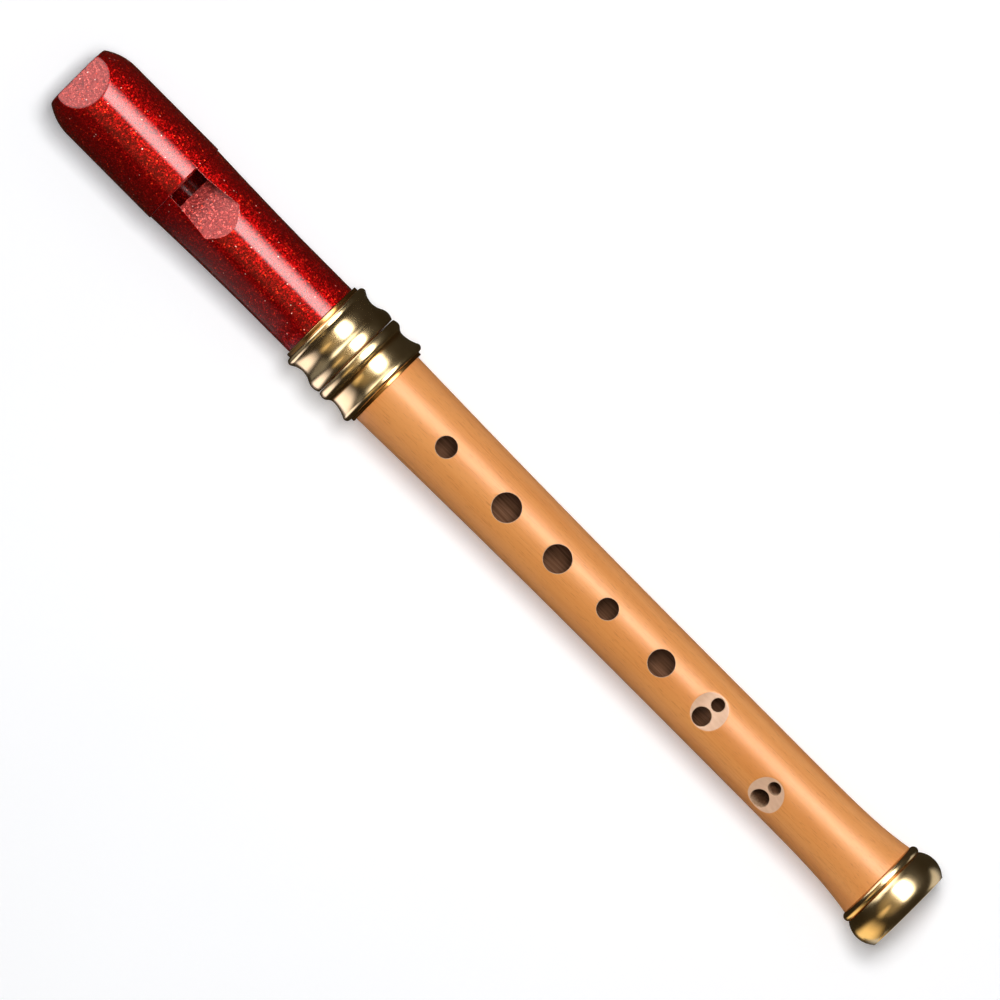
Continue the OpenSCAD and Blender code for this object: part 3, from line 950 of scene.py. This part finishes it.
def card(name, corner, along, across, colour, fade_along, fade_across):
    """A glowing card that is seen in reflections only. It fades towards its four edges, by these shares of
    its size: at the start and the end of one side, then of the other."""
    n = 24
    u, v = np.meshgrid(np.linspace(0, 1, n + 1), np.linspace(0, 1, n + 1), indexing="ij")
    spread = u[..., None] * np.array(along) + v[..., None] * np.array(across)
    obj = new_object(name, np.array(corner) + spread, grid_faces(n + 1, n + 1, False, False))
    glow = np.ones_like(u)
    for share, (start, end) in ((u, fade_along), (v, fade_across)):
        glow = glow * soft_step(share, -0.001, start) * soft_step(1 - share, -0.001, end)
    rgba = np.concatenate([glow[..., None] * np.array(colour), np.ones_like(glow)[..., None]], axis=-1)
    stored = obj.data.attributes.new("glow", "FLOAT_COLOR", "POINT")
    stored.data.foreach_set("color", rgba.reshape(-1).astype(np.float32))
    obj.visible_camera = obj.visible_diffuse = obj.visible_shadow = obj.visible_transmission = False
    obj.data.materials.append(GLOW)


def studio_world():
    """Pale where the camera sees it, a soft fill on matte surfaces, and dark in reflections."""
    world = bpy.data.worlds.new("studio")
    bpy.context.scene.world = world
    world.cycles.sampling_method = "NONE"
    world.use_nodes = True
    tree = world.node_tree
    path = tree.nodes.new("ShaderNodeLightPath")
    matte = tree.nodes.new("ShaderNodeMix")
    camera_sees = tree.nodes.new("ShaderNodeMix")
    matte.data_type = camera_sees.data_type = "RGBA"
    matte.inputs[6].default_value = (0.2, 0.2, 0.206, 1)
    matte.inputs[7].default_value = (0.024, 0.018, 0.010, 1)
    camera_sees.inputs[7].default_value = (0.9, 0.9, 0.9, 1)
    tree.links.new(path.outputs["Is Glossy Ray"], matte.inputs["Factor"])
    tree.links.new(path.outputs["Is Camera Ray"], camera_sees.inputs["Factor"])
    tree.links.new(matte.outputs[2], camera_sees.inputs[6])
    tree.links.new(camera_sees.outputs[2], tree.nodes["Background"].inputs["Color"])


floor = plane("floor", [(-4, -4, 0), (4, -4, 0), (4, 4, 0), (-4, 4, 0)])
floor.data.materials.append(floor_paint())
floor.visible_glossy = False

CENTRE = (0.0, 0.0, AXIS_Z)
lamp("key", from_overhead(14, 1.2, -0.05), CENTRE, (0.3, 0.26), 6.6)
lamp("overhead", from_overhead(2, 1.4), CENTRE, (0.3, 0.3), 5.9)

GLOW = glow_paint()
WHITE = np.array([1.0, 0.97, 0.95])
AMBER = np.array([1.0, 0.74, 0.38])
ROSE = np.array([1.0, 0.93, 1.05])

card("softbox", (-0.9, 0.08, 0.95), (1.8, 0, 0), (0, 0.72, -0.32), 10.5 * WHITE, (0.3, 0.3), (0.2, 0.6))
card("ceiling", (-1.8, -1.5, 1.2), (3.6, 0, 0), (0, 3.2, 0), 0.32 * AMBER, (0.45, 0.45), (0.3, 0.4))
card("end_wall", (-0.9, -0.7, -0.1), (0, 1.4, 0), (0, 0, 0.95), 2.8 * WHITE, (0.3, 0.3), (0.25, 0.3))

ring_start, ring_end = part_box("head_ring")[0].x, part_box("body_ring")[1].x
foot_start, foot_end = (end.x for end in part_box("foot_ring"))
side_y, side_z, side_h = -0.045, -0.03, 0.085
card("ring_side", (ring_start - 0.003, side_y, side_z), (ring_end - ring_start + 0.006, 0, 0), (0, 0, side_h),
     1.65 * ROSE, (0.3, 0.3), (0.2, 0.5))
card("ring_over", (ring_start - 0.006, -0.08, 0.06), (ring_end - ring_start + 0.012, 0, 0), (0, 0.05, 0.12),
     1.1 * AMBER, (0.3, 0.3), (0.4, 0.5))
card("head_side", (ring_start - 0.055, side_y, side_z), (0.051, 0, 0), (0, 0, side_h), 0.22 * WHITE,
     (0.5, 0.1), (0.1, 0.3))
card("foot_side", (foot_start - 0.003, side_y, side_z), (0.06, 0, 0), (0, 0, side_h), 1.25 * AMBER,
     (0.2, 0.6), (0.2, 0.5))
card("foot_over", (foot_start - 0.01, -0.08, 0.06), (0.05, 0, 0), (0, 0.05, 0.12), 1.1 * AMBER,
     (0.3, 0.5), (0.4, 0.5))
card("foot_floor", (foot_end + 0.004, -0.14, -0.01), (0.16, 0, 0), (0, 0.28, 0), 0.7 * WHITE,
     (0.1, 0.5), (0.2, 0.2))
studio_world()

# Width that the camera takes in at the height of the tube's axis
FRAME_WIDTH = 0.2758
camera_data = bpy.data.cameras.new("camera")
camera_data.lens = 800
camera_data.sensor_width = 36
camera_data.clip_end = 20
camera = bpy.data.objects.new("camera", camera_data)
camera.location = (0.0026, 0.0002, AXIS_Z + FRAME_WIDTH * camera_data.lens / camera_data.sensor_width)
camera.rotation_euler = (0, 0, math.radians(45.146))
bpy.context.scene.collection.objects.link(camera)
bpy.context.scene.camera = camera
bpy.context.scene.view_settings.view_transform = "Standard"
